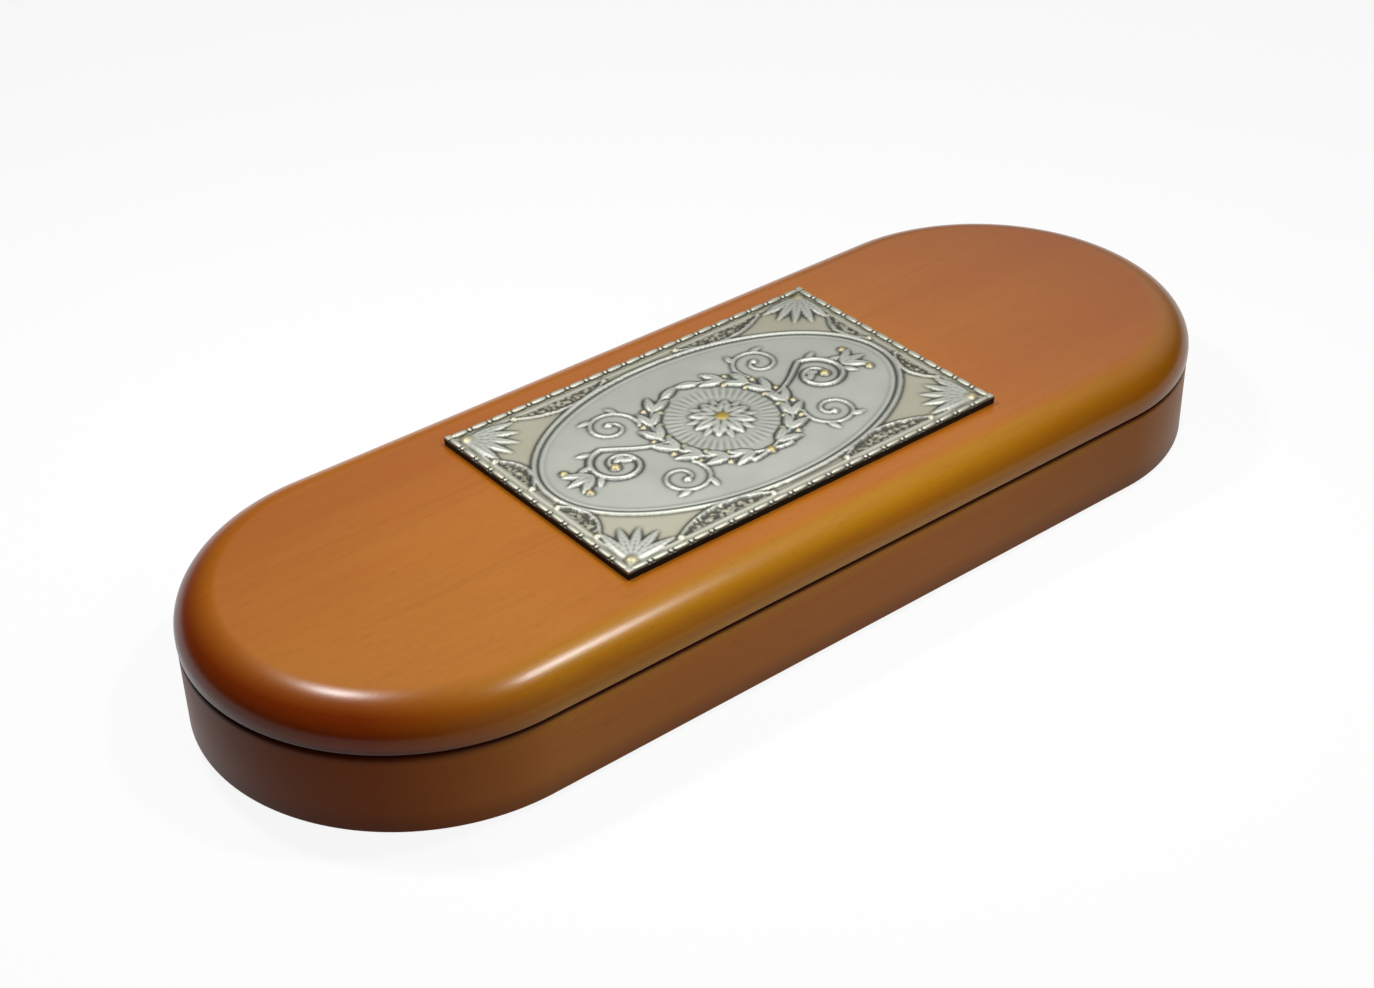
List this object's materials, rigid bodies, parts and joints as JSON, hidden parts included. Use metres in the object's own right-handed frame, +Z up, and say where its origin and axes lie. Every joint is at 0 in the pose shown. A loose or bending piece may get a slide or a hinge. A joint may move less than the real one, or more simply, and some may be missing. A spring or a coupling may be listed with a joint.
{
  "type": "wooden pen box",
  "caption": "Round-ended wooden box for pens, with a hinged round-edged lid, an embossed silver plaque on the lid and a flocked rest with pen grooves inside.",
  "frame": {"origin": "middle of the felt underside, which the box stands on", "axes": "+X along the box's length, +Y from the opening front to the hinges, +Z up through the lid"},
  "size_m": [0.2, 0.0734, 0.0248],
  "materials": {
    "stained_beech": "satin lacquer",
    "black_felt": "pressed felt",
    "blue_flock": "flocked",
    "satin_lining": "satin weave",
    "black_board": "black paint",
    "aged_silver": "silver foil, embossed, darkened in the recesses",
    "brass": "rolled, satin",
    "nickel_plate": "nickel plated"
  },
  "bodies": {
    "base": {"base_felt": "black_felt", "tray_shell": "stained_beech", "pen_rest": "blue_flock", "left_hinge_pin": "brass", "left_hinge_tray_leaf": "brass", "left_hinge_tray_screw_1": "brass", "left_hinge_tray_screw_2": "brass", "left_tray_magnet": "nickel_plate", "right_hinge_pin": "brass", "right_hinge_tray_leaf": "brass", "right_hinge_tray_screw_1": "brass", "right_hinge_tray_screw_2": "brass", "right_tray_magnet": "nickel_plate"},
    "lid": {"lid_shell": "stained_beech", "lid_lining": "satin_lining", "plaque_backing": "black_board", "plaque_sheet": "aged_silver", "left_hinge_lid_leaf": "brass", "left_hinge_lid_screw_1": "brass", "left_hinge_lid_screw_2": "brass", "left_lid_magnet": "nickel_plate", "right_hinge_lid_leaf": "brass", "right_hinge_lid_screw_1": "brass", "right_hinge_lid_screw_2": "brass", "right_lid_magnet": "nickel_plate"}
  },
  "joints": [
    {"name": "lid_hinge", "type": "hinge", "parent": "base", "child": "lid", "pos_m": [0, 0.03485, 0.0154], "axis": [-1, 0, 0], "range_deg": [0, 95]}
  ]
}
